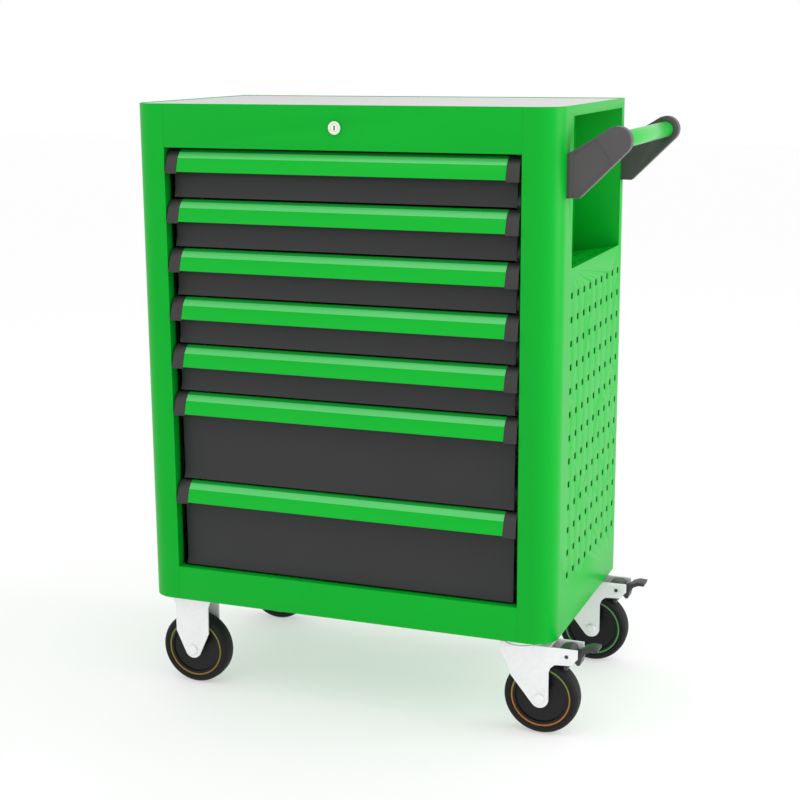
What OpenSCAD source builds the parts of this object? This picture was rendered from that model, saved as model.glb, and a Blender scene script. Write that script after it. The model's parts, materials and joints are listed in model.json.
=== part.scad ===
// Rolling tool chest: a folded steel cabinet with seven drawers on ball slides, a lock that
// holds them all, a perforated right side with a bottle niche, a push handle and four casters.
// Millimetres. +Z is up, -Y is the drawer front, +X is the handle side.
// The origin is on the floor below the middle of the whole chest, handle included.

/* [Cabinet] */
// Width over the two side panels
body_w = 720; // [600:5:870]
// Depth from the front plane to the back
body_d = 413; // [344:1:500]
// Height of the steel body, without the casters
body_h = 840; // [780:5:1010]
// Thickness of the folded sheet
sheet = 1.2; // [0.8:0.1:2]
// Width of each front post
post_w = 58; // [48:1:70]
// Radius of the rounded front corners
post_r = 40; // [20:1:44]
// Depth of the post's and the rails' return flange
post_flange = 19; // [15:1:24]
// Width of the flange that closes each side panel at the back
rear_flange = 15; // [10:1:18]
// Height of the header above the drawers
header_h = 70; // [60:1:90]
// Height of the rail below the drawers
rail_h = 58; // [40:1:80]
// Height of the base sheet above the lower edge of the body
base_recess = 4; // [3:0.5:8]
// Thickness of the base sheet
base_t = 2; // [1.5:0.5:4]
// Thickness of the worktop mat
mat_t = 3; // [2:0.5:5]
// How far the steel rim stands above the mat
rim = 1; // [0.5:0.5:3]

/* [Bottle niche and perforated side] */
// Depth of the niche into the cabinet
niche_depth = 80; // [70:1:90]
// Front edge of the niche opening behind the front plane
niche_front = 80; // [74:1:100]
// Strip of side panel behind the niche opening
niche_rear = 18.4; // [18.4:0.2:30]
// Lower edge of the niche opening above the body's lower edge
niche_low = 591; // [570:1:620]
// Strip of side panel above the niche opening
niche_top = 16; // [12:1:30]
// Inward slope of the niche shelf in degrees
shelf_tilt = 9.5; // [4:0.5:12]
// Side of the square holes
hole = 10; // [6:0.5:12]
// Hole pitch on the side panel, both ways
hole_pitch = 38; // [30:1:50]
// Hole pitch on the niche shelf
shelf_pitch = 48; // [36:1:60]
// Centre of the first hole column behind the front plane
hole_y0 = 86; // [80:1:100]
// Centre of the lowest hole row above the body's lower edge
hole_z0 = 92; // [60:1:110]
// Plain margin kept between the holes and the edges of the panel
hole_margin = 16; // [12:1:30]

/* [Drawers] */
// Number of shallow drawers, above the two deep ones
shallow_n = 5; // [5:1:5]
// Height of a shallow drawer front
shallow_h = 77; // [70:1:84]
// Gap between neighbouring drawer fronts
front_gap = 3.5; // [2.5:0.5:5]
// Gap between a front's end and its post
side_gap = 10; // [8:0.5:12]
// Depth of the drawer fronts behind the front plane
face_y = 16; // [14:1:18]
// Depth of the folded edges of a drawer front
front_return = 8; // [7:1:10]
// Room behind the drawer trays, for their catches and the lock bar
rear_room = 31; // [31:1:40]
// Sheet of the trays
tray_t = 1; // [0.8:0.1:1.5]
// Height of the tray's side walls below the top of its front
tray_drop = 14; // [10:1:20]
// Height of the tray's bottom above the lower edge of its front
tray_lift = 4; // [3:0.5:8]
// Height of the flared lower edge of a drawer front
flare_h = 13; // [8:1:16]
// How far the lower edge flares forward
flare_y = 4; // [2:0.5:6]

/* [Drawer pulls] */
// How far the pull stands in front of the front plane
pull_proud = 5; // [2:0.5:8]
// Height of the pull
pull_h = 35; // [30:0.5:40]
// Front edge of the pull's sloping top behind the front plane
pull_top_y = 9; // [7:0.5:11]
// Fall of that top to its front edge
pull_fall = 4; // [2:0.5:5]
// Lower edge of the pull's bevel behind the front plane
bevel_y = 2; // [0.5:0.5:4]
// Height of the bevel
bevel_h = 9; // [7:0.5:11]
// Wall of the extruded pull
pull_t = 2; // [1.5:0.1:3]
// Width of each end cap
cap_w = 21; // [16:1:26]
// How far a cap reaches past the end of the drawer front
cap_over = 7; // [4:0.5:7]
// How far the pull and its caps wrap over the top of the drawer front
wrap = 4; // [3:0.5:5]
// How far a cap reaches below the pull
cap_low = 3; // [1:0.5:4]

/* [Slides] */
// Thickness of a closed slide
slide_t = 12.7; // [10.5:0.1:15.3]
// Height of the fixed member
slide_h = 35; // [32:1:38]
// Space between the rear end of a slide and the back
slide_rear = 33; // [20:1:45]
// Metal of the slide members
slide_m = 1.2; // [1:0.1:1.6]
// Clearance all round between the fixed and the running member, for the balls
ball_gap = 2.6; // [2:0.1:3]
// Thickness of the uprights that carry the slides
upright_t = 8; // [6:0.5:10]
// Width of the uprights
upright_w = 30; // [24:1:36]
// Front of the slides behind the front plane
slide_y0 = 40; // [40:1:42]
// Distance of the uprights from the ends of the slides, clear of the nuts of the casters
upright_in = 34; // [32:1:35]

/* [Push handle] */
// Diameter of the tube
tube_d = 26; // [21:0.5:32]
// Distance of the tube's axis from the side panel
tube_out = 75; // [66:1:90]
// Tube's axis below the top of the body
tube_drop = 51; // [44:1:60]
// Wall around the tube in its bracket
socket_wall = 9; // [6:0.5:12]
// Depth of the tube's socket in each bracket
socket_d = 14; // [10:1:16]
// Thickness of a bracket along the tube
bracket_t = 18.4; // [17:0.1:18.4]
// Height of a bracket's foot on the side panel
foot_h = 66; // [56:1:72]
// Top of the bracket's foot below the tube's axis
foot_drop = 20; // [16:1:26]
// Width of the lower end of the foot
foot_w = 19; // [12:1:24]
// Radius of the screws that hold the brackets
screw_r = 3; // [2.5:0.5:3]
// Length of those screws inside the brackets
screw_l = 16; // [10:1:18]
// Distance of those screws from the ends of the foot
screw_in = 13; // [12:1:18]
// Plain rim at the bracket's foot, beside the pocket in its outer face
foot_rim = 9; // [6:1:10]
// Depth of that pocket
pocket_t = 2; // [1:0.5:3]

/* [Casters] */
// Diameter of the wheels
wheel_d = 125; // [104:1:150]
// Height above the wheels that the forks and the plates take
fork_room = 35; // [33:1:45]
// Width of the tyres
tyre_w = 32; // [24:1:34]
// Thickness of the tyre outside the wheel's core
tyre_t = 12.5; // [10:0.5:16]
// Thickness of the wheel's core disc
core_w = 24; // [18:1:28]
// Axle radius
axle_r = 6; // [4:0.5:8]
// Running clearance of the turning parts, on the radius
run = 0.05; // [0.02:0.01:0.1]
// Gap between a tyre's side and the fork leg
leg_gap = 3; // [2:0.5:5]
// Thickness of the fork legs and the caster plates
leg_t = 3; // [2.5:0.5:4]
// Radius of the rounded lower end of a fork leg
leg_end_r = 15; // [12:0.5:18]
// Length of the rigid casters' plates, along X
rigid_plate_l = 92; // [88:1:96]
// Bolt spacing of the rigid casters' plates along X, clear of the fork's legs
rigid_bolt_l = 81; // [81:0.2:81.4]
// Length of the swivel casters' plates, along X
swivel_plate_l = 80; // [78:1:84]
// Bolt spacing of the swivel casters' plates along X
swivel_bolt_l = 64; // [62:1:68]
// Width of all the plates, along Y
plate_w = 58; // [54:1:60]
// Bolt spacing along Y
bolt_w = 42; // [40:1:44]
// Bolt radius
bolt_r = 4; // [3:0.5:4]
// Distance of the casters' middle from the front and the back plane
caster_in = 38; // [38:1:60]
// Distance of the rigid casters' middle from the left side
rigid_in = 71; // [60:1:100]
// Distance of the swivel axes from the right side
swivel_in = 58; // [58:1:90]
// Distance from the swivel axis to the axle
trail = 34; // [26:1:36]
// Radius of the swivel's ball race
race_r = 31; // [28:1:32]
// Distance from the swivel axis to the brake pedal's pivot
pivot_x = 78; // [76:1:80]
// Radius of that pivot
pivot_r = 3; // [2.5:0.5:4]
// Width of the brake pedal
pedal_w = 28; // [24:1:32]
// Turn of the pedal that brings its shoe to the tyre, in degrees
pedal_travel = 18; // [14:1:20]

/* [Lock] */
// Radius of the lock's bezel
bezel_r = 10.5; // [9:0.5:14]
// Radius of the lock's barrel
barrel_r = 8.5; // [7.5:0.5:9]
// Radius of the turning plug
plug_r = 6; // [5:0.5:6.5]
// Axis of the lock below the top of the body
lock_drop = 35; // [31:1:38]
// Crank radius at the back of the lock's shaft
crank_r = 6; // [4:0.5:7]

/* [Hidden] */
$fn = 64;

// Colours of the finished chest
green = [0.05, 0.75, 0.20];
lime = [0.12, 0.82, 0.30];
charcoal = [0.22, 0.22, 0.23];
black = [0.06, 0.06, 0.06];
silver = [0.80, 0.80, 0.82];
zinc = [0.92, 0.92, 0.92];

// Overlap of two shapes that are united
eps = 0.01;
// Small gap that keeps two touching pieces of one node apart
seat = 0.05;
hw = body_w / 2;
caster_h = wheel_d + fork_room;
top_z = caster_h + body_h;
open_hw = hw - post_w;
open_z0 = caster_h + rail_h;
open_z1 = top_z - header_h;
base_z = caster_h + base_recess;
lid_z = top_z - rim - mat_t - sheet;

// Bottle niche, measured inside
niche_x0 = hw - niche_depth;
niche_y1 = body_d - niche_rear;
niche_z0 = caster_h + niche_low;
niche_z1 = top_z - niche_top;
shelf_fall = niche_depth * tan(shelf_tilt);

// Holes of the side panel
hole_cols = floor((body_d - hole_margin - hole / 2 - hole_y0) / hole_pitch) + 1;
hole_rows = floor((niche_low - hole_margin - shelf_fall - hole_z0) / hole_pitch) + 1;

// Drawers: the tray's half width leaves room for the slide, the upright and the niche
tray_hw = niche_x0 - sheet - upright_t - slide_t;
front_hw = open_hw - side_gap;
drawer_n = shallow_n + 2;
deep_h = (open_z1 - open_z0 - (drawer_n + 1) * front_gap - shallow_n * shallow_h) / 2;
function front_h(i) = i < shallow_n ? shallow_h : deep_h;
function front_top(i) = i == 0 ? open_z1 - front_gap
                               : front_top(i - 1) - front_h(i - 1) - front_gap;
function front_z(i) = front_top(i) - front_h(i);
function slide_z(i) = front_z(i) + tray_lift + (front_h(i) - tray_drop - tray_lift) / 2;
tray_y1 = body_d - rear_room;
// Lower faces of the lock bar's two bearings
guide_h = 10;
function guide_z(k) = k == 0 ? slide_z(0) - 34 : slide_z(drawer_n - 1) - 24;
tray_d = tray_y1 - face_y;
slide_len = body_d - slide_rear - slide_y0;
cap_x = front_hw + cap_over;

// Rear catches of the drawers; each has a lip on its left half for a hook of the lock bar
catch_y = tray_y1 + 7;
catch_w = 20;
catch_drop = 8;
lip_x = -3;
hook_h = 4.5;

// Turning lock bar behind the drawers, and the fork at its top
bar_y = tray_y1 + 17;
bar_r = 4;
fork_l = 12.5;
fork_hw = 6.5;
fork_h = 10;
slot_hw = 3.5;
slot_y = 6;
pin_end = 8.5;

// Lock: the crank turns a quarter, half of it to each side of upright
lock_z = top_z - lock_drop;
shaft_r = 4;
shaft_y0 = 28;
crank_t = 4;
crank_y = bar_y - fork_l - 2.5 - crank_t;
bar_turn = 2 * atan(crank_r * sin(45) / ((fork_l + pin_end) / 2));

// Handle
tube_r = tube_d / 2;
tube_x = hw + tube_out;
tube_z = top_z - tube_drop;
grip_r = tube_r + socket_wall;
foot_top = tube_z - foot_drop;
front_bracket_y = 43;
rear_bracket_y = body_d - bracket_t;
pocket_rim = 3;
arm_angle = atan2(tube_z - foot_top + foot_h / 2, tube_out);

// Casters
wheel_r = wheel_d / 2;
core_r = wheel_r - tyre_t;
leg_y = tyre_w / 2 + leg_gap;
rigid_x = -hw + rigid_in;
swivel_x = hw - swivel_in;
axle_x = swivel_x + trail;
caster_y = [caster_in, body_d - caster_in];
plate_z = base_z - leg_t;
race_z = caster_h - 6.5;
crown_z = race_z - 0.8;
crown_t = 4;
crown_r = race_r + 1;
pin_r = 8;
bolt_head_h = 4.5;
// Half width of the rigid legs at their plate, and the height where they start to taper
leg_hw = 35;
shoulder_z = caster_h - 65;
// Front end of the swivel crown between the legs
bridge_x = 50;
// Brake pedal: pivot above the floor, shoe thickness, and its gap to the tyre when pressed
pivot_z = caster_h - 20;
shoe_t = 6;
shoe_gap = 0.6;

// Whole chest from cabinet coordinates to the part's own origin
module placed() {
  translate([-(tube_out + grip_r) / 2, -(body_d - pull_proud) / 2, 0]) children();
}

// A profile in Y and Z, extruded along X from x0
module along_x(x0, length) {
  translate([x0, 0, 0]) rotate([90, 0, 90]) linear_extrude(length) children();
}

// A profile in X and Z, extruded along Y from y0
module along_y(y0, length) {
  translate([0, y0 + length, 0]) rotate([90, 0, 0]) linear_extrude(length) children();
}

// Cylinder along Y
module rod_y(x, y0, z, r, length) {
  translate([x, y0 + length, z]) rotate([90, 0, 0]) cylinder(r = r, h = length);
}

// Cylinder along X
module rod_x(x0, y, z, r, length) {
  translate([x0, y, z]) rotate([0, 90, 0]) cylinder(r = r, h = length);
}

// ---- Cabinet ----

// Plan of the whole cabinet, moved inwards by inset
module cabinet_plan(inset) {
  for (s = [-1, 1]) translate([s * (hw - post_r), post_r]) circle(r = post_r - inset);
  translate([-hw + post_r, inset]) square([body_w - 2 * post_r, post_r]);
  translate([-hw + inset, post_r]) square([body_w - 2 * inset, body_d - post_r - inset]);
}

// Plan of one side: corner, wall and the width of the post, moved inwards by inset
module side_block(inset) {
  intersection() {
    translate([post_r, post_r]) circle(r = post_r - inset);
    square(post_r + eps);
  }
  translate([post_r, inset]) square([post_w - post_r - inset, body_d - 2 * inset]);
  translate([inset, post_r]) square([post_r, body_d - post_r - inset]);
}

// One side panel: wall, rounded post, the post's return flange and the rear flange
module side_panel() {
  difference() {
    translate([-hw, 0, caster_h]) linear_extrude(body_h) difference() {
      side_block(0);
      side_block(sheet);
      translate([rear_flange, post_flange]) square([post_w, body_d]);
    }
    translate([0, 0, lid_z]) linear_extrude(top_z) cabinet_plan(sheet);
    linear_extrude(base_z + base_t) cabinet_plan(sheet);
  }
}

module left_side_panel() {
  color(green) placed() side_panel();
}

// Places of the screws that hold one bracket, as [y, z]
function bracket_screws(y0) =
  [for (z = [foot_top - screw_in, foot_top - foot_h + screw_in]) [y0 + bracket_t / 2, z]];

module right_side_panel() {
  color(green) placed() difference() {
    mirror([1, 0, 0]) side_panel();
    translate([niche_x0, niche_front, niche_z0])
      cube([niche_depth * 2, niche_y1 - niche_front, niche_z1 - niche_z0]);
    for (i = [0 : hole_cols - 1], j = [0 : hole_rows - 1])
      translate([hw - 5, hole_y0 + i * hole_pitch - hole / 2,
                 caster_h + hole_z0 + j * hole_pitch - hole / 2]) cube([10, hole, hole]);
    for (y0 = [front_bracket_y, rear_bracket_y], p = bracket_screws(y0))
      rod_x(hw - 5, p[0], p[1], screw_r, 10);
  }
}

module back_panel() {
  color(green) placed() translate([-hw + sheet, body_d - 2 * sheet, base_z + base_t])
    cube([body_w - 2 * sheet, sheet, lid_z - base_z - base_t]);
}

// Top sheet, and a hem at the back that closes the rim
module top_panel() {
  color(green) placed() {
    translate([0, 0, lid_z]) linear_extrude(sheet) cabinet_plan(sheet);
    translate([-hw + rear_flange, body_d - sheet, lid_z - 8])
      cube([body_w - 2 * rear_flange, sheet, top_z - lid_z + 8]);
  }
}

module top_mat() {
  color(silver) placed() translate([0, 0, lid_z + sheet]) linear_extrude(mat_t) cabinet_plan(sheet + 0.6);
}

// Base sheet with the caster bolt holes
module base_pan() {
  color(green) placed() difference() {
    translate([0, 0, base_z]) linear_extrude(base_t) cabinet_plan(sheet);
    all_bolts() cylinder(r = bolt_r, h = base_z * 2);
  }
}

// Folded channel between the posts: face, and a flange at its drawer edge
module cross_channel(z0, h, flange_z) {
  translate([-open_hw, 0, z0]) cube([2 * open_hw, sheet, h]);
  translate([-open_hw, 0, flange_z]) cube([2 * open_hw, post_flange, sheet]);
}

module front_header() {
  color(green) placed() difference() {
    cross_channel(open_z1, header_h, open_z1);
    rod_y(0, -5, lock_z, barrel_r, 10);
  }
}

module bottom_rail() {
  color(green) placed() cross_channel(caster_h, rail_h, open_z0 - sheet);
}

// Pressed bin behind the niche opening, open to the side and at the bottom
module side_niche() {
  color(green) placed() difference() {
    translate([niche_x0 - sheet, niche_front - sheet, niche_z0 - shelf_fall - sheet])
      cube([niche_depth, niche_y1 - niche_front + 2 * sheet,
            niche_z1 - niche_z0 + shelf_fall + 2 * sheet]);
    translate([niche_x0, niche_front, niche_z0 - shelf_fall - 5])
      cube([niche_depth, niche_y1 - niche_front, niche_z1 - niche_z0 + shelf_fall + 5]);
  }
}

// Perforated shelf that slopes inwards, with a lip against the side panel
module niche_shelf() {
  length = niche_y1 - niche_front;
  cols = floor((length - 2 * hole_margin - hole) / shelf_pitch) + 1;
  y0 = niche_front + (length - (cols - 1) * shelf_pitch) / 2;
  color(green) placed() difference() {
    along_y(niche_front, length) polygon([
      [niche_x0, niche_z0 - shelf_fall], [hw - sheet, niche_z0],
      [hw - sheet, niche_z0 - 18], [hw - 2 * sheet, niche_z0 - 18],
      [hw - 2 * sheet, niche_z0 - 2 * sheet], [niche_x0, niche_z0 - shelf_fall - sheet]]);
    for (i = [0 : cols - 1], x = [hw - 20, hw - 54])
      translate([x - hole / 2, y0 + i * shelf_pitch - hole / 2, niche_z0 - 40]) cube([hole, hole, 60]);
  }
}

// ---- Slides ----

// Four channels, slotted to hook the slides in
module slide_uprights() {
  height = lid_z - base_z - base_t;
  rear_y = slide_y0 + slide_len - upright_in - upright_w;
  color(zinc) placed() for (s = [0, 1], y = [slide_y0 + upright_in, rear_y])
    mirror([s, 0, 0]) translate([tray_hw + slide_t, y, base_z + base_t]) difference() {
      cube([upright_t, upright_w, height]);
      translate([slide_m, slide_m, -1]) cube([upright_t, upright_w - 2 * slide_m, height + 2]);
      for (i = [0 : drawer_n - 1], dy = [upright_w * 0.3, upright_w * 0.6])
        translate([-1, dy, slide_z(i) - base_z - base_t - 6]) cube([slide_m + 2, 3, 12]);
    }
}

// Fixed member of one slide: a channel open towards the tray
module slide_rail() {
  translate([tray_hw + slide_m, slide_y0, -slide_h / 2]) difference() {
    cube([slide_t - slide_m, slide_len, slide_h]);
    translate([-1, -1, slide_m]) cube([slide_t - 2 * slide_m + 1, slide_len + 2, slide_h - 2 * slide_m]);
  }
}

module slide_rails() {
  color(silver) placed() for (i = [0 : drawer_n - 1], s = [0, 1])
    translate([0, 0, slide_z(i)]) mirror([s, 0, 0]) slide_rail();
}

// Running member of one slide: a channel on the tray's wall, inside the fixed one
module slide_runner() {
  h = slide_h - 2 * slide_m - 2 * ball_gap;
  w = slide_t - slide_m - ball_gap;
  translate([tray_hw + seat, slide_y0, -h / 2]) difference() {
    cube([w - seat, slide_len, h]);
    translate([slide_m, -1, slide_m]) cube([w, slide_len + 2, h - 2 * slide_m]);
  }
}

// ---- Drawers ----

// Section of a drawer front with its folded edges and flared lower edge, below the pull's wrap
module front_section(i) {
  z0 = front_z(i);
  z1 = front_top(i) - pull_t;
  polygon([[face_y, z1], [face_y, z0 + flare_h], [face_y - flare_y, z0], [face_y + front_return, z0],
           [face_y + front_return, z0 + tray_t], [face_y - flare_y + 2 * tray_t, z0 + tray_t],
           [face_y + tray_t, z0 + flare_h], [face_y + tray_t, z1 - tray_t],
           [face_y + front_return, z1 - tray_t], [face_y + front_return, z1]]);
}

// Tray box below the top of the front
module tray_box(i) {
  z0 = front_z(i) + tray_lift;
  h = front_h(i) - tray_lift - tray_drop;
  difference() {
    translate([-tray_hw, face_y, z0]) cube([2 * tray_hw, tray_d, h]);
    translate([-tray_hw + tray_t, face_y + tray_t, z0 + tray_t])
      cube([2 * (tray_hw - tray_t), tray_d - 2 * tray_t, h]);
  }
}

// Catch behind the tray: a shelf, and a lip that a hook of the lock bar turns in front of
module rear_catch(i) {
  z = slide_z(i);
  translate([-catch_w / 2, tray_y1 - eps, z - tray_t])
    cube([catch_w, catch_y + tray_t - tray_y1 + eps, tray_t]);
  translate([-catch_w / 2, catch_y, z - catch_drop]) cube([catch_w / 2 + lip_x, tray_t, catch_drop]);
}

// Drawer: front, tray and catch as one folded piece, and its two running slide members
module tray(i) {
  color(charcoal) placed() {
    along_x(-front_hw, 2 * front_hw) front_section(i);
    tray_box(i);
    rear_catch(i);
  }
  color(silver) placed() for (s = [0, 1])
    translate([0, 0, slide_z(i)]) mirror([s, 0, 0]) slide_runner();
}

// Outer corners of the pull: top rear, top front, below the bevel, lower front
function pull_face(i) = [
  [face_y + wrap, front_top(i)], [face_y, front_top(i)], [pull_top_y, front_top(i) - pull_fall],
  [bevel_y, front_top(i) - pull_fall - bevel_h], [-pull_proud, front_top(i) - pull_h]];

// Extruded hood over the top of a drawer front, with a flange against the front
module pull(i) {
  z = front_top(i);
  color(lime) placed() along_x(-cap_x + cap_w, 2 * (cap_x - cap_w)) polygon(concat(pull_face(i), [
    [-pull_proud + pull_t, z - pull_h], [bevel_y + pull_t, z - pull_fall - bevel_h],
    [pull_top_y + pull_t / 2, z - pull_fall - pull_t],
    [face_y - pull_t, z - pull_t], [face_y - pull_t, z - pull_h * 0.6], [face_y, z - pull_h * 0.6],
    [face_y, z - pull_t], [face_y + wrap, z - pull_t]]));
}

// Moulded end caps of one pull
module caps(i) {
  z = front_top(i);
  color(black) placed() for (x = [-cap_x, cap_x - cap_w]) along_x(x, cap_w)
    polygon(concat(pull_face(i), [
      [-pull_proud, z - pull_h - cap_low], [face_y - 10, z - pull_h - cap_low],
      [face_y, z - pull_h * 0.75], [face_y, z - pull_t], [face_y + wrap, z - pull_t]]));
}

// ---- Handle ----

// Point where the tangent from p touches the circle at c, on the side s
function tangent(p, c, r, s) =
  let (d = p - c, l = norm(d), a = atan2(d[1], d[0]) + s * acos(r / l))
  c + r * [cos(a), sin(a)];

// Outline of a bracket's arm in X and Z, from its foot on the panel up to the round end
module bracket_arm(inset) {
  c = [tube_x, tube_z];
  r = grip_r - inset;
  up = [hw + inset, foot_top - inset];
  low = [hw + foot_w + 4 - inset, foot_top - foot_h + 4 + inset * 0.6];
  polygon([up, tangent(up, c, r - seat, -1), c, tangent(low, c, r - seat, 1), low,
           [hw + foot_w - inset, foot_top - foot_h + inset], [hw + inset, foot_top - foot_h + inset]]);
}

// Bracket with its outer face at y0; mirrored for the rear end
module bracket(y0, outer) {
  difference() {
    union() {
      along_y(y0, bracket_t) bracket_arm(0);
      rod_y(tube_x, y0, tube_z, grip_r, bracket_t);
    }
    // socket for the tube, open to the inner side
    rod_y(tube_x, outer < 0 ? y0 + bracket_t - socket_d : y0 - 1, tube_z, tube_r, socket_d + 1);
    // shallow pocket in the outer face, between the foot's rim and the round end
    along_y(outer < 0 ? y0 - 1 : y0 + bracket_t - pocket_t, pocket_t + 1) difference() {
      bracket_arm(pocket_rim);
      translate([hw, foot_top - foot_h]) square([foot_rim, foot_h]);
      translate([tube_x, tube_z]) rotate(arm_angle) translate([-grip_r - 1, -tube_out])
        square(2 * tube_out);
    }
    for (p = bracket_screws(y0)) rod_x(hw - 1, p[0], p[1], screw_r, screw_l + 1);
  }
}

module handle_bracket_front() {
  color(charcoal) placed() bracket(front_bracket_y, -1);
}

module handle_bracket_rear() {
  color(charcoal) placed() bracket(rear_bracket_y, 1);
}

module handle_tube() {
  y0 = front_bracket_y + bracket_t - socket_d;
  color(lime) placed() difference() {
    rod_y(tube_x, y0, tube_z, tube_r, rear_bracket_y + socket_d - y0);
    rod_y(tube_x, y0 - 1, tube_z, tube_r - 1.5, rear_bracket_y + socket_d - y0 + 2);
  }
}

// Screws from inside the side panel into the brackets
module handle_screws() {
  color(zinc) placed() for (y0 = [front_bracket_y, rear_bracket_y], p = bracket_screws(y0)) {
    rod_x(hw - sheet - 3.5, p[0], p[1], 2 * screw_r, 3.5);
    rod_x(hw - sheet - 1, p[0], p[1], screw_r, sheet + 1 + screw_l);
  }
}

// ---- Lock ----

module lock_barrel() {
  color(silver) placed() difference() {
    union() {
      rod_y(0, -3, lock_z, bezel_r, 3);
      rod_y(0, -1, lock_z, barrel_r, 23);
      rod_y(0, sheet, lock_z, barrel_r + 3.5, 4);
    }
    rod_y(0, -4, lock_z, plug_r + run, 27);
  }
}

// Turning plug with its key slot
module lock_plug() {
  color(silver) placed() difference() {
    union() {
      rod_y(0, -3, lock_z, plug_r, shaft_y0 + 3);
      rod_y(0, 22 + 0.3, lock_z, plug_r + 2, shaft_y0 - 22.3);
    }
    translate([-1, -4, lock_z - 3.5]) cube([2, 12, 7]);
  }
}

// Shaft from the plug to the back, with the crank whose pin turns the lock bar
module lock_shaft() {
  color(zinc) placed() {
    rod_y(0, shaft_y0, lock_z, shaft_r, crank_y - shaft_y0 + 1);
    translate([0, 0, lock_z]) rotate([0, -45, 0]) {
      along_y(crank_y, crank_t) {
        circle(r = shaft_r + 2);
        translate([0, -3]) square([crank_r, 6]);
        translate([crank_r, 0]) circle(r = 3);
      }
      rod_y(crank_r, crank_y, 0, 2.5, bar_y - pin_end - crank_y);
    }
  }
}

// Hook in plan, turned in front of a catch's lip: an arm with a tip bent to the left
module hook_plan() {
  translate([-1.5, -14]) square([3.5, 14]);
  translate([-7, -14]) square([7, 2]);
}

// Vertical round bar behind the drawers, open: a hook for each catch, and the fork for the pin
module lock_bar() {
  bar_z0 = slide_z(drawer_n - 1) - 30;
  color(zinc) placed() translate([0, bar_y, 0]) {
    translate([0, 0, bar_z0]) cylinder(r = bar_r, h = lock_z + fork_h - bar_z0);
    // collar that rests on the lower guide
    translate([0, 0, guide_z(1) + guide_h + 0.3]) cylinder(r = bar_r + 2, h = 4);
    for (i = [0 : drawer_n - 1]) translate([0, 0, slide_z(i) - catch_drop + 1])
      rotate(bar_turn) linear_extrude(hook_h) hook_plan();
    translate([0, 0, lock_z + 0.5]) rotate(bar_turn / 2) linear_extrude(fork_h - 0.5) difference() {
      translate([-fork_hw, -fork_l]) square([2 * fork_hw, fork_l + 2]);
      translate([-slot_hw, -fork_l - 1]) square([2 * slot_hw, fork_l + 1 - slot_y]);
    }
  }
}

// Two bearings on the back panel that the lock bar turns in
module lock_bar_guides() {
  y1 = body_d - 2 * sheet;
  color(zinc) placed() for (k = [0, 1]) difference() {
    translate([-bar_r - 4, bar_y - bar_r - 2, guide_z(k)])
      cube([2 * bar_r + 8, y1 - bar_y + bar_r + 2, guide_h]);
    translate([0, bar_y, guide_z(k) - 1]) cylinder(r = bar_r + run, h = guide_h + 2);
  }
}

// ---- Casters ----

// Repeats its child at the four bolts of every caster
module all_bolts() {
  for (y = caster_y) {
    plate_bolts(rigid_x, y, rigid_bolt_l) children();
    plate_bolts(swivel_x, y, swivel_bolt_l) children();
  }
}

// Repeats its child at the four bolts of one caster
module plate_bolts(x, y, bolt_l) {
  for (sx = [-1, 1], sy = [-1, 1])
    translate([x + sx * bolt_l / 2, y + sy * bolt_w / 2, 0]) children();
}

// Plate with its bolt holes
module caster_plate(x, y, plate_l, bolt_l) {
  difference() {
    translate([x - plate_l / 2, y - plate_w / 2, plate_z]) cube([plate_l, plate_w, leg_t]);
    plate_bolts(x, y, bolt_l) cylinder(r = bolt_r, h = base_z * 2);
  }
}

// Bolt heads under the plates, shanks and nuts inside the base
module caster_bolts() {
  nut_z = base_z + base_t;
  color(zinc) placed() all_bolts() {
    translate([0, 0, plate_z - bolt_head_h]) rotate(30)
      cylinder(r = bolt_r + 2, h = bolt_head_h, $fn = 6);
    translate([0, 0, plate_z - 1]) cylinder(r = bolt_r, h = nut_z - plate_z + 7);
    translate([0, 0, nut_z]) cylinder(r = bolt_r + 2.4, h = 5, $fn = 6);
  }
}

// Leg of the rigid fork above its round end, in X from the axle and Z
module rigid_leg() {
  c = [0, wheel_r];
  r = leg_end_r - seat;
  low = [leg_hw - 4, shoulder_z];
  right = [low, [low[0], plate_z - 20], [leg_hw, plate_z - 8], [leg_hw, plate_z + leg_t / 2]];
  left = [for (k = [3 : -1 : 0]) [-right[k][0], right[k][1]]];
  polygon(concat(left, [tangent([-low[0], low[1]], c, r, 1), c, tangent(low, c, r, -1)], right));
}

// Fork pressed from one sheet: plate and two legs
module rigid_forks() {
  color(zinc) placed() for (y = caster_y) difference() {
    union() {
      caster_plate(rigid_x, y, rigid_plate_l, rigid_bolt_l);
      for (y0 = [y - leg_y - leg_t, y + leg_y]) translate([rigid_x, 0, 0]) {
        along_y(y0, leg_t) rigid_leg();
        rod_y(0, y0, wheel_r, leg_end_r, leg_t);
      }
    }
    rod_y(rigid_x, y - 50, wheel_r, axle_r, 100);
  }
}

// Axle bolt with a round head at each end
module axle(x, y) {
  out = leg_y + leg_t;
  rod_y(x, y - out - 4, wheel_r, axle_r + 2.5, 4);
  rod_y(x, y - out - 2, wheel_r, axle_r, 2 * out + 4);
  rod_y(x, y + out, wheel_r, axle_r + 2.5, 4);
}

module rigid_axles() {
  color(zinc) placed() for (y = caster_y) axle(rigid_x, y);
}

// Moulded wheel: boss, disc and rim
module wheel(x, y) {
  boss = leg_y - 0.5;
  color(black) placed() translate([x, y, wheel_r]) rotate([90, 0, 0]) rotate_extrude($fn = 96) polygon([
    [axle_r + run, -boss], [axle_r + 7, -boss], [axle_r + 7, -core_w / 2 + 3], [core_r - 8, -core_w / 2 + 3],
    [core_r - 7, -core_w / 2 - 1], [core_r, -core_w / 2 - 1], [core_r, core_w / 2 + 1],
    [core_r - 7, core_w / 2 + 1], [core_r - 8, core_w / 2 - 3], [axle_r + 7, core_w / 2 - 3],
    [axle_r + 7, boss], [axle_r + run, boss]]);
}

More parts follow.
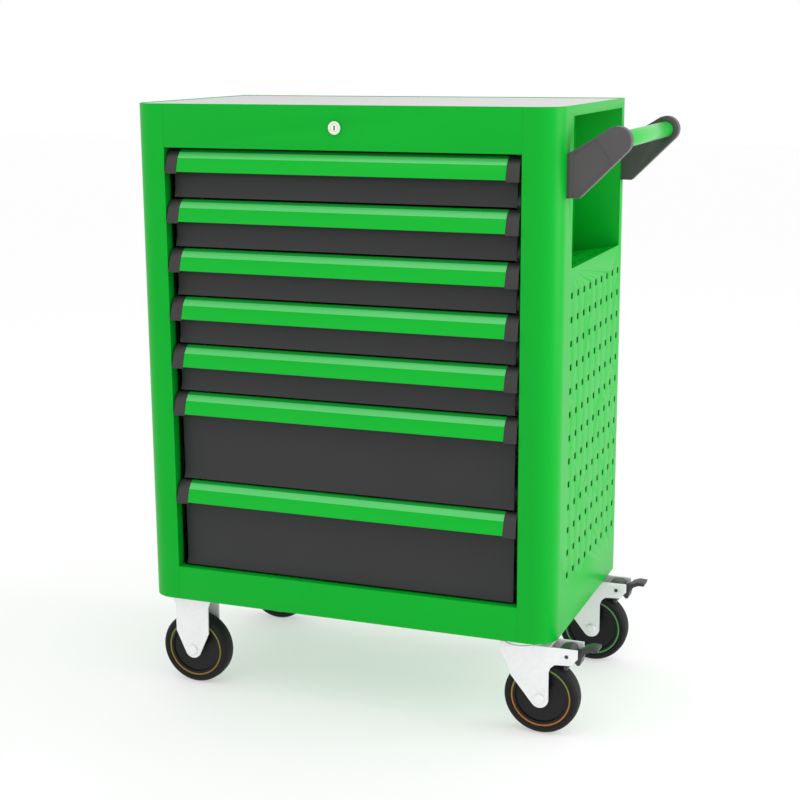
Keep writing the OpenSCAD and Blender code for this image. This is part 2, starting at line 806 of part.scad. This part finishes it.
// Solid tyre with chamfered shoulders and a slightly crowned tread
module tyre(x, y) {
  h = tyre_w / 2;
  color(black) placed() translate([x, y, wheel_r]) rotate([90, 0, 0]) rotate_extrude($fn = 96) polygon([
    [core_r, -h + 2], [core_r + 3, -h], [wheel_r - 5, -h], [wheel_r - 1, -h + 5], [wheel_r, 0],
    [wheel_r - 1, h - 5], [wheel_r - 5, h], [core_r + 3, h], [core_r, h - 2]]);
}

// Bolted plate, upper race and king pin of a swivel caster
module swivel_plates() {
  color(zinc) placed() for (y = caster_y) {
    caster_plate(swivel_x, y, swivel_plate_l, swivel_bolt_l);
    translate([swivel_x, y, race_z]) cylinder(r = race_r, h = plate_z - race_z + 1);
    translate([swivel_x, y, crown_z - crown_t - 1]) cylinder(r = pin_r, h = crown_t + 4);
    translate([swivel_x, y, crown_z - crown_t - 4.3]) cylinder(r = pin_r + 4, h = 4);
  }
}

// Leg of the swivel fork, in X from the swivel axis and Z
module swivel_leg() {
  c = [trail, wheel_r];
  r = leg_end_r;
  translate(c) circle(r = r);
  heel = [-14, crown_z - 55];
  edge = trail + r;
  nose = pivot_x + 18;
  polygon([[-crown_r, crown_z], [-crown_r, crown_z - 16], [heel[0] - 7, heel[1] + 20], heel,
           tangent(heel, c, r, 1), c, [edge, wheel_r], [edge, pivot_z - 30], [edge + 3, pivot_z - 22],
           [edge + 10, pivot_z - 16], [nose - 10, pivot_z - 14], [nose, pivot_z - 2], [nose, crown_z]]);
}

// Swivel fork: crown with the king pin's bore, and two legs
module swivel_fork(y) {
  color(zinc) placed() translate([swivel_x, y, 0]) difference() {
    union() {
      translate([0, 0, crown_z - crown_t]) cylinder(r = crown_r, h = crown_t);
      translate([-crown_r * 0.6, -leg_y - 1, crown_z - crown_t])
        cube([crown_r * 0.6 + bridge_x, 2 * leg_y + 2, crown_t]);
      for (y0 = [-leg_y - leg_t, leg_y]) along_y(y0, leg_t) swivel_leg();
    }
    translate([0, 0, crown_z - crown_t - 1]) cylinder(r = pin_r + run, h = crown_t + 2);
    rod_y(trail, -50, wheel_r, axle_r, 100);
    rod_y(pivot_x, -50, pivot_z, pivot_r + run, 100);
  }
}

// Brake pedal: cross pin, shoe above the tyre and S-shaped tread
module brake_pedal(y) {
  to_wheel = [pivot_x - trail, pivot_z - wheel_r];
  rest_angle = 180 + atan2(to_wheel[1], to_wheel[0]) + pedal_travel + 4;
  color(black) placed() translate([swivel_x + pivot_x, y, pivot_z]) {
    along_y(-pedal_w / 2, pedal_w) {
      polygon([[-14, -4], [-6, -9], [10, -10], [16, -16], [20, -15], [23, -2], [29, 6], [38, 10],
               [48, 10], [49, 15], [36, 16], [25, 12], [18, 6], [12, 2], [9, 10], [3, 13], [-10, 11],
               [-16, 6]]);
      rotate(rest_angle) translate([0, -shoe_t / 2]) square([norm(to_wheel) - wheel_r - shoe_gap, shoe_t]);
    }
    rod_y(0, -leg_y - leg_t - 1, 0, pivot_r, 2 * (leg_y + leg_t + 1));
  }
}

left_side_panel();
right_side_panel();
back_panel();
top_panel();
top_mat();
base_pan();
front_header();
bottom_rail();
side_niche();
niche_shelf();
slide_uprights();
slide_rails();
handle_tube();
handle_bracket_front();
handle_bracket_rear();
handle_screws();
lock_barrel();
lock_plug();
lock_shaft();
lock_bar();
lock_bar_guides();
caster_bolts();
rigid_forks();
rigid_axles();
wheel(rigid_x, caster_y[0]);  // rigid_front_wheel
tyre(rigid_x, caster_y[0]);  // rigid_front_tyre
wheel(rigid_x, caster_y[1]);  // rigid_rear_wheel
tyre(rigid_x, caster_y[1]);  // rigid_rear_tyre
swivel_plates();
swivel_fork(caster_y[0]);  // swivel_front_fork
swivel_fork(caster_y[1]);  // swivel_rear_fork
color(zinc) placed() axle(axle_x, caster_y[0]);  // swivel_front_axle
color(zinc) placed() axle(axle_x, caster_y[1]);  // swivel_rear_axle
wheel(axle_x, caster_y[0]);  // swivel_front_wheel
tyre(axle_x, caster_y[0]);  // swivel_front_tyre
wheel(axle_x, caster_y[1]);  // swivel_rear_wheel
tyre(axle_x, caster_y[1]);  // swivel_rear_tyre
brake_pedal(caster_y[0]);  // brake_pedal_front
brake_pedal(caster_y[1]);  // brake_pedal_rear
tray(0);  // drawer_1_tray
tray(1);  // drawer_2_tray
tray(2);  // drawer_3_tray
tray(3);  // drawer_4_tray
tray(4);  // drawer_5_tray
tray(5);  // drawer_6_tray
tray(6);  // drawer_7_tray
pull(0);  // drawer_1_pull
pull(1);  // drawer_2_pull
pull(2);  // drawer_3_pull
pull(3);  // drawer_4_pull
pull(4);  // drawer_5_pull
pull(5);  // drawer_6_pull
pull(6);  // drawer_7_pull
caps(0);  // drawer_1_caps
caps(1);  // drawer_2_caps
caps(2);  // drawer_3_caps
caps(3);  // drawer_4_caps
caps(4);  // drawer_5_caps
caps(5);  // drawer_6_caps
caps(6);  // drawer_7_caps
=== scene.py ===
import json
import math

import bmesh
import bpy
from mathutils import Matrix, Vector

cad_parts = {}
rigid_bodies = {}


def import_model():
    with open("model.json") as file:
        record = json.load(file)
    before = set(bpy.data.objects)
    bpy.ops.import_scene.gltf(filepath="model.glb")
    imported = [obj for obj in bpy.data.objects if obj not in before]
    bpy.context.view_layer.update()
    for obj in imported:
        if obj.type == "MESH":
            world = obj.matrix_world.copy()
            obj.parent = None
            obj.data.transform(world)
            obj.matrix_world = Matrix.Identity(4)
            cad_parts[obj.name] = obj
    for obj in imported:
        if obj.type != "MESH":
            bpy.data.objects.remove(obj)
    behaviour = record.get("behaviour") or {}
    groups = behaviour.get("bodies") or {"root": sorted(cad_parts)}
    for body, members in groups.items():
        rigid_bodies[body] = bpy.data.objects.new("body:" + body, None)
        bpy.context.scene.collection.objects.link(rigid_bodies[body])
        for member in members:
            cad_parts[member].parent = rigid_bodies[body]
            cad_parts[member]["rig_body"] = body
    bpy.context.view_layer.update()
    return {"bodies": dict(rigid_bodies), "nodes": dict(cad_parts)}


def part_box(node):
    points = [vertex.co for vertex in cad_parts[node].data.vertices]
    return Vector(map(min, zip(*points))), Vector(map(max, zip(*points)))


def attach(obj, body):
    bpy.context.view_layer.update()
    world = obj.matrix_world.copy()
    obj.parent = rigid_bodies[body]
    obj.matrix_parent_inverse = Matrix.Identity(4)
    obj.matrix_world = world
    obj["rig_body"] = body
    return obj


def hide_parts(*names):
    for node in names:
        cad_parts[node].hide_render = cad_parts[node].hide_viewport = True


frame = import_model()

# Camera and studio: the chest stands on a flat white floor, seen from in front and to the right, a
# little above its middle. A large soft light hangs overhead, a second stands at the right, and
# a weaker one at the front left.
camera = bpy.data.objects.new("camera", bpy.data.cameras.new("camera"))
bpy.context.scene.collection.objects.link(camera)
camera.location = (0.9415, -2.5127, 1.0939)
camera.rotation_euler = (math.radians(77.40), math.radians(0.30), math.radians(20.89))
camera.data.lens = 72.0
camera.data.sensor_width = 36.0
bpy.context.scene.camera = camera
bpy.context.scene.view_settings.view_transform = "Standard"

world = bpy.data.worlds.new("studio")
world.use_nodes = True
world.node_tree.nodes["Background"].inputs["Color"].default_value = (1.0, 1.0, 1.0, 1.0)
world.node_tree.nodes["Background"].inputs["Strength"].default_value = 1.0
bpy.context.scene.world = world


def softbox(name, place, target, width, height, power):
    """A rectangular soft light at place that faces target."""
    lamp = bpy.data.lights.new(name, "AREA")
    lamp.shape = "RECTANGLE"
    lamp.size, lamp.size_y, lamp.energy = width, height, power
    light = bpy.data.objects.new(name, lamp)
    light.location = place
    light.rotation_euler = (Vector(target) - Vector(place)).to_track_quat("-Z", "Y").to_euler()
    bpy.context.scene.collection.objects.link(light)


softbox("overhead", (0.2, -1.3, 2.9), (0, 0, 0.6), 2.4, 1.6, 9)
softbox("right", (3.0, 0.4, 1.4), (0.3, 0, 0.6), 1.6, 2.4, 46)
softbox("front_left", (-1.6, -3.2, 1.5), (0, 0, 0.5), 1.8, 1.8, 2)

floor_size, floor_drop = 30, 0.0005
bpy.ops.object.select_all(action="DESELECT")
bpy.ops.mesh.primitive_plane_add(size=floor_size, location=(0, 0, -floor_drop))
floor = bpy.context.object
floor.name = "floor"
floor_paint = bpy.data.materials.new("floor_paint")
floor_paint.use_nodes = True
floor_shader = floor_paint.node_tree.nodes["Principled BSDF"]
floor_shader.inputs["Base Color"].default_value = (0.50, 0.50, 0.50, 1)
floor_shader.inputs["Emission Color"].default_value = (1.0, 1.0, 1.0, 1)
floor_shader.inputs["Emission Strength"].default_value = 0.45
floor_shader.inputs["Roughness"].default_value = 0.9
floor.data.materials.append(floor_paint)


# Cabinet: folded steel sheet, powder coated bright green all over. The side panels carry the
# rounded posts, the header and the rail are folded channels welded between them, and every cut
# edge is broken by the coat.
class Signal:
    """One output of a material's nodes. Arithmetic on it adds Math nodes."""

    def __init__(self, tree, socket=None):
        self.tree = tree
        self.socket = socket

    def node(self, kind, inputs, output=0, **settings):
        made = self.tree.nodes.new(kind)
        for name, value in settings.items():
            setattr(made, name, value)
        for name, value in inputs.items():
            if isinstance(value, Signal):
                self.tree.links.new(value.socket, made.inputs[name])
            else:
                made.inputs[name].default_value = value
        return Signal(self.tree, made.outputs[output])

    def maths(self, operation, first, second):
        return self.node("ShaderNodeMath", {0: first, 1: second}, operation=operation)

    def __add__(self, other):
        return self.maths("ADD", self, other)

    def __sub__(self, other):
        return self.maths("SUBTRACT", self, other)

    def __rsub__(self, other):
        return self.maths("SUBTRACT", other, self)

    def __mul__(self, other):
        return self.maths("MULTIPLY", self, other)

    __radd__ = __add__
    __rmul__ = __mul__


def blend(mask, low, high):
    """Colour low where mask is 0 and colour high where it is 1."""
    return mask.node("ShaderNodeMix", {0: mask, 6: low, 7: high}, output=2, data_type="RGBA")


def new_finish(name, roughness, specular=0.5, metallic=0.0):
    """A material, its shader, and the start of its node maths."""
    finish = bpy.data.materials.new(name)
    finish.use_nodes = True
    shader = finish.node_tree.nodes["Principled BSDF"]
    shader.inputs["Roughness"].default_value = roughness
    shader.inputs["Specular IOR Level"].default_value = specular
    shader.inputs["Metallic"].default_value = metallic
    return finish, shader, Signal(finish.node_tree)


def feed(shader, socket, signal):
    signal.tree.links.new(signal.socket, shader.inputs[socket])


def noise(start, scale, detail=2.0, stretch=(1.0, 1.0, 1.0)):
    """Noise with scale in patches a metre, finer along an axis that is stretched."""
    place = start.node("ShaderNodeTexCoord", {}, output="Object")
    turned = start.node("ShaderNodeMapping", {"Vector": place, "Scale": stretch})
    return start.node("ShaderNodeTexNoise", {"Vector": turned, "Scale": scale, "Detail": detail},
                      output="Fac")


def bump(start, height, depth, strength=1.0):
    return start.node("ShaderNodeBump", {"Height": height, "Distance": depth, "Strength": strength},
                      output="Normal")


def coated(name, low, high, roughness, peel=0.00006, specular=0.5):
    """Sprayed or powder coat: two close shades in broad clouds, and a fine orange peel."""
    finish, shader, start = new_finish(name, roughness, specular)
    clouds = noise(start, 5.0, 3.0)
    peel_height = noise(start, 420.0, 2.0)
    feed(shader, "Base Color", blend(clouds, low, high))
    feed(shader, "Roughness", roughness + (peel_height - 0.5) * 0.10)
    feed(shader, "Normal", bump(start, peel_height, peel))
    return finish


def edit(piece):
    """Makes this piece the only selected one and opens its mesh."""
    bpy.ops.object.select_all(action="DESELECT")
    bpy.context.view_layer.objects.active = piece
    piece.select_set(True)
    bpy.ops.object.mode_set(mode="EDIT")


def pick_edges(piece, test):
    """Selects the edges whose middle and direction pass the test."""
    bpy.ops.mesh.select_mode(type="EDGE")
    bpy.ops.mesh.select_all(action="DESELECT")
    mesh = bmesh.from_edit_mesh(piece.data)
    for edge in mesh.edges:
        edge.select_set(test((edge.verts[0].co + edge.verts[1].co) / 2,
                             (edge.verts[0].co - edge.verts[1].co).normalized()))
    bmesh.update_edit_mesh(piece.data)


def round_edges(piece, width, segments=2, angle=30.0, smooth=35.0):
    """Breaks every edge sharper than angle, and shades the curved faces smooth."""
    bpy.ops.object.mode_set(mode="OBJECT")
    soften = piece.modifiers.new("edges", "BEVEL")
    soften.width = width
    soften.segments = segments
    soften.limit_method = "ANGLE"
    soften.angle_limit = math.radians(angle)
    soften.use_clamp_overlap = True
    bpy.ops.object.modifier_apply(modifier="edges")
    bpy.ops.object.shade_smooth_by_angle(angle=math.radians(smooth))


def formed(node, width, segments, finish):
    """The finished form of a CAD part: its own shape, with every edge broken by width."""
    weld, flat = 0.000004, math.radians(0.4)
    part = frame["nodes"][node]
    piece = bpy.data.objects.new(node + "_formed", part.data.copy())
    bpy.context.scene.collection.objects.link(piece)
    piece.data.materials.clear()
    piece.data.materials.append(finish)
    edit(piece)
    bpy.ops.mesh.customdata_custom_splitnormals_clear()
    bpy.ops.mesh.select_all(action="SELECT")
    bpy.ops.mesh.remove_doubles(threshold=weld)
    bpy.ops.mesh.dissolve_limited(angle_limit=flat)
    round_edges(piece, width, segments)
    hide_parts(node)
    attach(piece, part["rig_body"])
    return piece


green_coat = coated("green_powder_coat", (0.0010, 0.39, 0.024, 1), (0.0012, 0.42, 0.027, 1), 0.36,
                    specular=0.12)
sheet_edge = 0.0004
for node in ("left_side_panel", "right_side_panel", "back_panel", "base_pan", "front_header",
             "bottom_rail", "top_panel", "side_niche", "niche_shelf"):
    shell = formed(node, sheet_edge, 2, green_coat)


# Worktop mat: a smooth light-grey plastic sheet, faintly streaked by its rolling. It is laid loose
# into the steel rim.
mat_grey, shader, start = new_finish("mat_plastic", 0.45)
streaks = noise(start, 30.0, 2.0, (1.0, 6.0, 1.0))
feed(shader, "Base Color", blend(streaks, (0.50, 0.49, 0.50, 1), (0.58, 0.57, 0.58, 1)))
feed(shader, "Normal", bump(start, noise(start, 900.0), 0.00005))
mat_edge = 0.0008
mat = formed("top_mat", mat_edge, 2, mat_grey)


# Drawers: folded steel trays, powder coated charcoal, each with a running slide member of drawn
# zinc-plated steel on both sides. The fixed members hang on four slotted uprights.
charcoal_coat = coated("charcoal_powder_coat", (0.022, 0.022, 0.023, 1), (0.028, 0.028, 0.029, 1),
                       0.42, peel=0.00009, specular=0.3)
slide_zinc, shader, start = new_finish("slide_zinc", 0.30, metallic=1.0)
drawn = noise(start, 60.0, 3.0, (1.0, 0.05, 8.0))
feed(shader, "Base Color", blend(drawn, (0.26, 0.27, 0.28, 1), (0.38, 0.39, 0.40, 1)))
feed(shader, "Roughness", 0.24 + drawn * 0.14)
drawers = [name for name in frame["bodies"] if name.startswith("drawer_")]
tray_edge, slide_thick, front_depth = 0.0005, 0.0127, 0.012
rails_low, rails_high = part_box("slide_rails")
runner_x = (rails_high.x - rails_low.x) / 2 - slide_thick
middle = (rails_high.x + rails_low.x) / 2
for drawer in drawers:
    tray = formed(drawer + "_tray", tray_edge, 2, charcoal_coat)
    tray.data.materials.append(slide_zinc)
    rear_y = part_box(drawer + "_tray")[0].y + front_depth
    for face in tray.data.polygons:
        if abs(face.center.x - middle) > runner_x and face.center.y > rear_y:
            face.material_index = 1
for node in ("slide_rails", "slide_uprights"):
    frame["nodes"][node].data.materials.clear()
    frame["nodes"][node].data.materials.append(slide_zinc)


# Drawer pulls: extruded aluminium hoods, sprayed lime green, with painted shade on top and a
# painted highlight on the bevel. Each wraps over the drawer front's top edge, slopes a little,
# turns down over the bevel, and ends in a long front that leans out to the fingers. A moulded black
# cap closes each end.
pull_coat = coated("pull_coat", (0.0018, 0.43, 0.026, 1), (0.0022, 0.47, 0.030, 1), 0.24,
                   peel=0.00003, specular=0.14)
# Painted shade: a darker green for the pulls' top faces, where shade falls under the drawer above.
pull_painted_shade = coated("pull_top_painted_shade", (0.006, 0.30, 0.032, 1), (0.008, 0.33, 0.036, 1), 0.30,
                  peel=0.00003, specular=0.14)
# Painted highlight: a paler, glossier green for the pulls' bevel faces, standing in for a lamp's
# reflection.
pull_painted_highlight = coated("pull_bevel_painted_highlight", (0.085, 0.58, 0.14, 1), (0.100, 0.62, 0.16, 1), 0.20,
                    peel=0.00003, specular=0.30)
cap_black = coated("cap_plastic", (0.020, 0.018, 0.018, 1), (0.026, 0.023, 0.023, 1), 0.5,
                   peel=0.00010)
wrap, slope_depth, slope_fall, bevel_depth, bevel_height = 0.004, 0.007, 0.004, 0.007, 0.009
wall, lip, lip_rise, hood_edge, cap_edge = 0.0020, 0.003, 0.0005, 0.0006, 0.0022
painted_shade_tilt, painted_highlight_tilt = 0.75, 0.45
for drawer in drawers:
    low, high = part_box(drawer + "_pull")
    front_height = high.z - low.z - slope_fall - bevel_height
    front_lean = high.y - low.y - wrap - slope_depth - bevel_depth
    middle = (low + high) / 2
    bpy.ops.object.select_all(action="DESELECT")
    bpy.ops.mesh.primitive_plane_add(size=1, location=(middle.x, high.y - wrap / 2, high.z))
    pull = bpy.context.object
    pull.name = drawer + "_hood"
    pull.scale = (high.x - low.x, wrap, 1)
    bpy.ops.object.transform_apply(location=True, rotation=True, scale=True)
    edit(pull)
    pick_edges(pull, lambda spot, line: spot.y < high.y - wrap / 2 and abs(line.x) > 0.9)
    for step in ((0, -slope_depth, -slope_fall), (0, -bevel_depth, -bevel_height),
                 (0, -front_lean, -front_height), (0, lip, lip_rise)):
        bpy.ops.mesh.extrude_region_move(TRANSFORM_OT_translate={"value": step})
    bpy.ops.mesh.select_all(action="SELECT")
    bpy.ops.mesh.normals_make_consistent(inside=False)
    bpy.ops.object.mode_set(mode="OBJECT")
    thick = pull.modifiers.new("wall", "SOLIDIFY")
    thick.thickness = wall
    thick.offset = -1
    bpy.ops.object.modifier_apply(modifier="wall")
    for paint in (pull_coat, pull_painted_shade, pull_painted_highlight):
        pull.data.materials.append(paint)
    round_edges(pull, hood_edge, 3, angle=25.0)
    # Upward faces get the painted shade, bevel faces the painted highlight, the rest the pull's own
    # green.
    for face in pull.data.polygons:
        tilt = face.normal.z
        face.material_index = 1 if tilt > painted_shade_tilt else 2 if tilt > painted_highlight_tilt else 0
    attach(pull, drawer)
    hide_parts(drawer + "_pull")
    caps = formed(drawer + "_caps", cap_edge, 4, cap_black)


# Push handle: a lime aluminium tube pressed into two moulded brackets of dark grey plastic, which
# are screwed to the right side.
bracket_grey = coated("bracket_plastic", (0.062, 0.056, 0.059, 1), (0.076, 0.069, 0.073, 1), 0.48,
                      peel=0.00012)
tube_edge, bracket_edge = 0.0004, 0.0012
tube = formed("handle_tube", tube_edge, 2, pull_coat)
for node in ("handle_bracket_front", "handle_bracket_rear"):
    bracket = formed(node, bracket_edge, 3, bracket_grey)


# Lock: a chromed barrel and plug in the header, and behind it the shaft, the crank and the round
# bar whose hooks turn in front of the drawers' catches.
lock_chrome, shader, start = new_finish("lock_chrome", 0.16, metallic=1.0)
polish = noise(start, 300.0)
# The chrome's colour is tinted green: a painted reflection of the green coat around the lock.
feed(shader, "Base Color", blend(polish, (0.70, 0.78, 0.66, 1), (0.80, 0.86, 0.74, 1)))
bright_zinc, shader, start = new_finish("bright_zinc", 0.36, metallic=0.35)
spangle = noise(start, 140.0, 3.0)
feed(shader, "Base Color", blend(spangle, (0.80, 0.80, 0.81, 1), (0.90, 0.90, 0.91, 1)))
feed(shader, "Roughness", 0.30 + spangle * 0.14)
feed(shader, "Normal", bump(start, spangle, 0.00005))
lock_edge = 0.0006
for node in ("lock_barrel", "lock_plug"):
    lock = formed(node, lock_edge, 3, lock_chrome)
for node in ("lock_shaft", "lock_bar", "lock_bar_guides", "handle_screws", "caster_bolts"):
    frame["nodes"][node].data.materials.clear()
    frame["nodes"][node].data.materials.append(bright_zinc)


# Casters: pressed forks and plates in bright zinc, with domed axle heads. Two are rigid, at the
# left, and two swivel, at the handle's end.
fork_edge, axle_edge = 0.0009, 0.0016
for node in ("rigid_forks", "swivel_plates", "swivel_front_fork", "swivel_rear_fork"):
    fork = formed(node, fork_edge, 3, bright_zinc)
for node in ("rigid_axles", "swivel_front_axle", "swivel_rear_axle"):
    axle = formed(node, axle_edge, 4, bright_zinc)


# Wheels: solid black rubber tyres with a fine tread, on black moulded cores. A thin coloured ring
# lies in each face where the tyre starts; its paint runs from ochre at the bottom to green at
# the top.
rubber, shader, start = new_finish("tyre_rubber", 0.62, specular=0.2)
grain = noise(start, 260.0, 3.0)
place = start.node("ShaderNodeTexCoord", {}, output="Object")
tread = start.node("ShaderNodeTexWave", {"Vector": place, "Scale": 70.0, "Distortion": 0.0},
                   bands_direction="X", output="Fac")
feed(shader, "Base Color", blend(grain, (0.006, 0.006, 0.006, 1), (0.013, 0.013, 0.014, 1)))
feed(shader, "Roughness", 0.56 + grain * 0.14)
feed(shader, "Normal", bump(start, tread * 0.4 + grain, 0.00025))
core_black = coated("core_plastic", (0.005, 0.005, 0.005, 1), (0.009, 0.0085, 0.009, 1), 0.42,
                    specular=0.25)
ring_shades = {"rigid_front": ((0.22, 0.14, 0.015, 1), (0.16, 0.26, 0.03, 1)),
               "rigid_rear": ((0.22, 0.14, 0.015, 1), (0.10, 0.28, 0.08, 1)),
               "swivel_front": ((0.36, 0.13, 0.010, 1), (0.12, 0.26, 0.05, 1)),
               "swivel_rear": ((0.10, 0.30, 0.10, 1), (0.10, 0.34, 0.12, 1))}
tyre_edge, core_edge = 0.0012, 0.0008
ring_radius, ring_thick, ring_out = 0.0485, 0.0015, 0.0130
shade_from, shade_to = -0.02, 0.045
for wheel, (bottom, top) in ring_shades.items():
    tyre = formed(wheel + "_tyre", tyre_edge, 3, rubber)
    core = formed(wheel + "_wheel", core_edge, 2, core_black)
    low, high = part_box(wheel + "_wheel")
    middle = (low + high) / 2
    ring_paint, shader, start = new_finish(wheel + "_ring_paint", 0.4)
    place = start.node("ShaderNodeTexCoord", {}, output="Object")
    level = start.node("ShaderNodeSeparateXYZ", {"Vector": place}, output="Z")
    rise = start.node("ShaderNodeMapRange", {"Value": level, "From Min": middle.z + shade_from,
                                             "From Max": middle.z + shade_to})
    feed(shader, "Base Color", blend(rise, bottom, top))
    for side in (-1, 1):
        bpy.ops.object.select_all(action="DESELECT")
        bpy.ops.mesh.primitive_torus_add(major_radius=ring_radius, minor_radius=ring_thick,
                                         major_segments=128, minor_segments=12,
                                         location=(middle.x, middle.y + side * ring_out, middle.z),
                                         rotation=(math.pi / 2, 0, 0))
        ring = bpy.context.object
        ring.name = f"{wheel}_ring_{'outer' if side < 0 else 'inner'}"
        bpy.ops.object.transform_apply(location=True, rotation=True, scale=True)
        bpy.ops.object.shade_smooth()
        ring.data.materials.append(ring_paint)
        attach(ring, wheel + "_rolling")


# Brake pedals: black cast levers, one hinged in each swivel fork, that stand out over the wheel
# for the foot.
pedal_edge = 0.0015
pedal_black = coated("pedal_paint", (0.026, 0.026, 0.026, 1), (0.036, 0.036, 0.036, 1), 0.45)
for end in ("front", "rear"):
    pedal = formed("brake_pedal_" + end, pedal_edge, 3, pedal_black)
